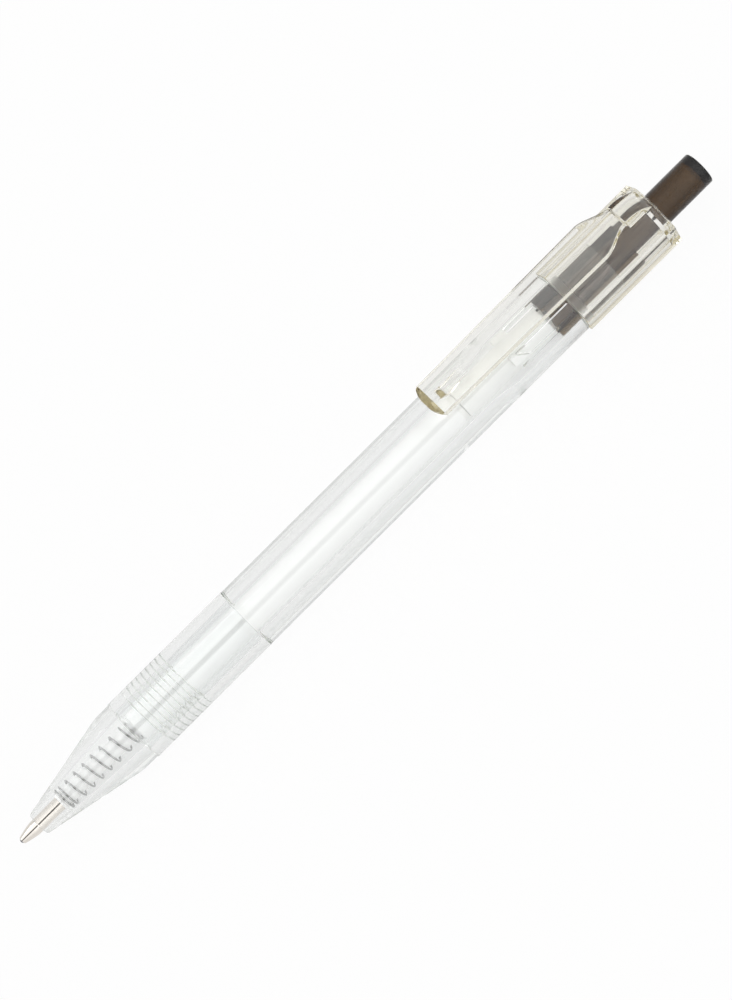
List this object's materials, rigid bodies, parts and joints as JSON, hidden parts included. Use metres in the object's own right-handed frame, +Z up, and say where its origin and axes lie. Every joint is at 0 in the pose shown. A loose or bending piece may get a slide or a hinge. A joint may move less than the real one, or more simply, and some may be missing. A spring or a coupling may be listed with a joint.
{
  "type": "retractable ballpoint pen",
  "caption": "Clear plastic click ballpoint pen: screw-on nose, barrel, faceted clip cap, smoked push button, white refill, return spring and rotating cam.",
  "frame": {"origin": "middle of the box that holds the pen at rest, on the surface that it lies on", "axes": "+X along the pen from the writing point to the push button, +Z up through the clip"},
  "size_m": [0.1436, 0.011, 0.0133],
  "materials": {
    "clear_nose": "clear, polished",
    "clear_barrel": "clear, polished",
    "clear_cap": "clear with a faint straw tint",
    "smoked_button": "smoked translucent brown",
    "white_cam": "moulded natural white",
    "spring_steel": "drawn wire",
    "white_refill": "extruded satin white",
    "white_plug": "moulded satin white",
    "ink": "dark blue ink",
    "tip_metal": "turned nickel silver",
    "ball_metal": "polished carbide"
  },
  "bodies": {
    "casing": {"nose_section": "clear_nose", "barrel": "clear_barrel", "clip_cap": "clear_cap", "spring": "spring_steel"},
    "button": {"push_button": "smoked_button"},
    "refill": {"refill_tip": "tip_metal", "refill_tube": "white_refill", "ink_column": "ink", "refill_plug": "white_plug"},
    "cam": {"cam_rotor": "white_cam"},
    "ball": {"tip_ball": "ball_metal"}
  },
  "joints": [
    {"name": "button_press", "type": "slide", "parent": "casing", "child": "button", "axis": [-1, 0, 0], "range_m": [-0.0052, 0.0009], "stiffness_N_per_m": 60},
    {"name": "refill_travel", "type": "slide", "parent": "casing", "child": "refill", "axis": [-1, 0, 0], "range_m": [-0.0052, 0.0009], "deforming": ["spring"]},
    {"name": "cam_index", "type": "hinge", "parent": "refill", "child": "cam", "pos_m": [0.03322, 0, 0.00545], "axis": [1, 0, 0], "range_deg": [-10.58, 60.2]},
    {"name": "ball_roll", "type": "hinge", "parent": "refill", "child": "ball", "pos_m": [-0.07128, 0, 0.00545], "axis": [0, 1, 0], "continuous": true}
  ],
  "couplings": [
    {"joint": "refill_travel", "follows": "button_press", "ratio": 1},
    {"joint": "cam_index", "follows": "button_press", "rad_per_m": -201.38}
  ]
}
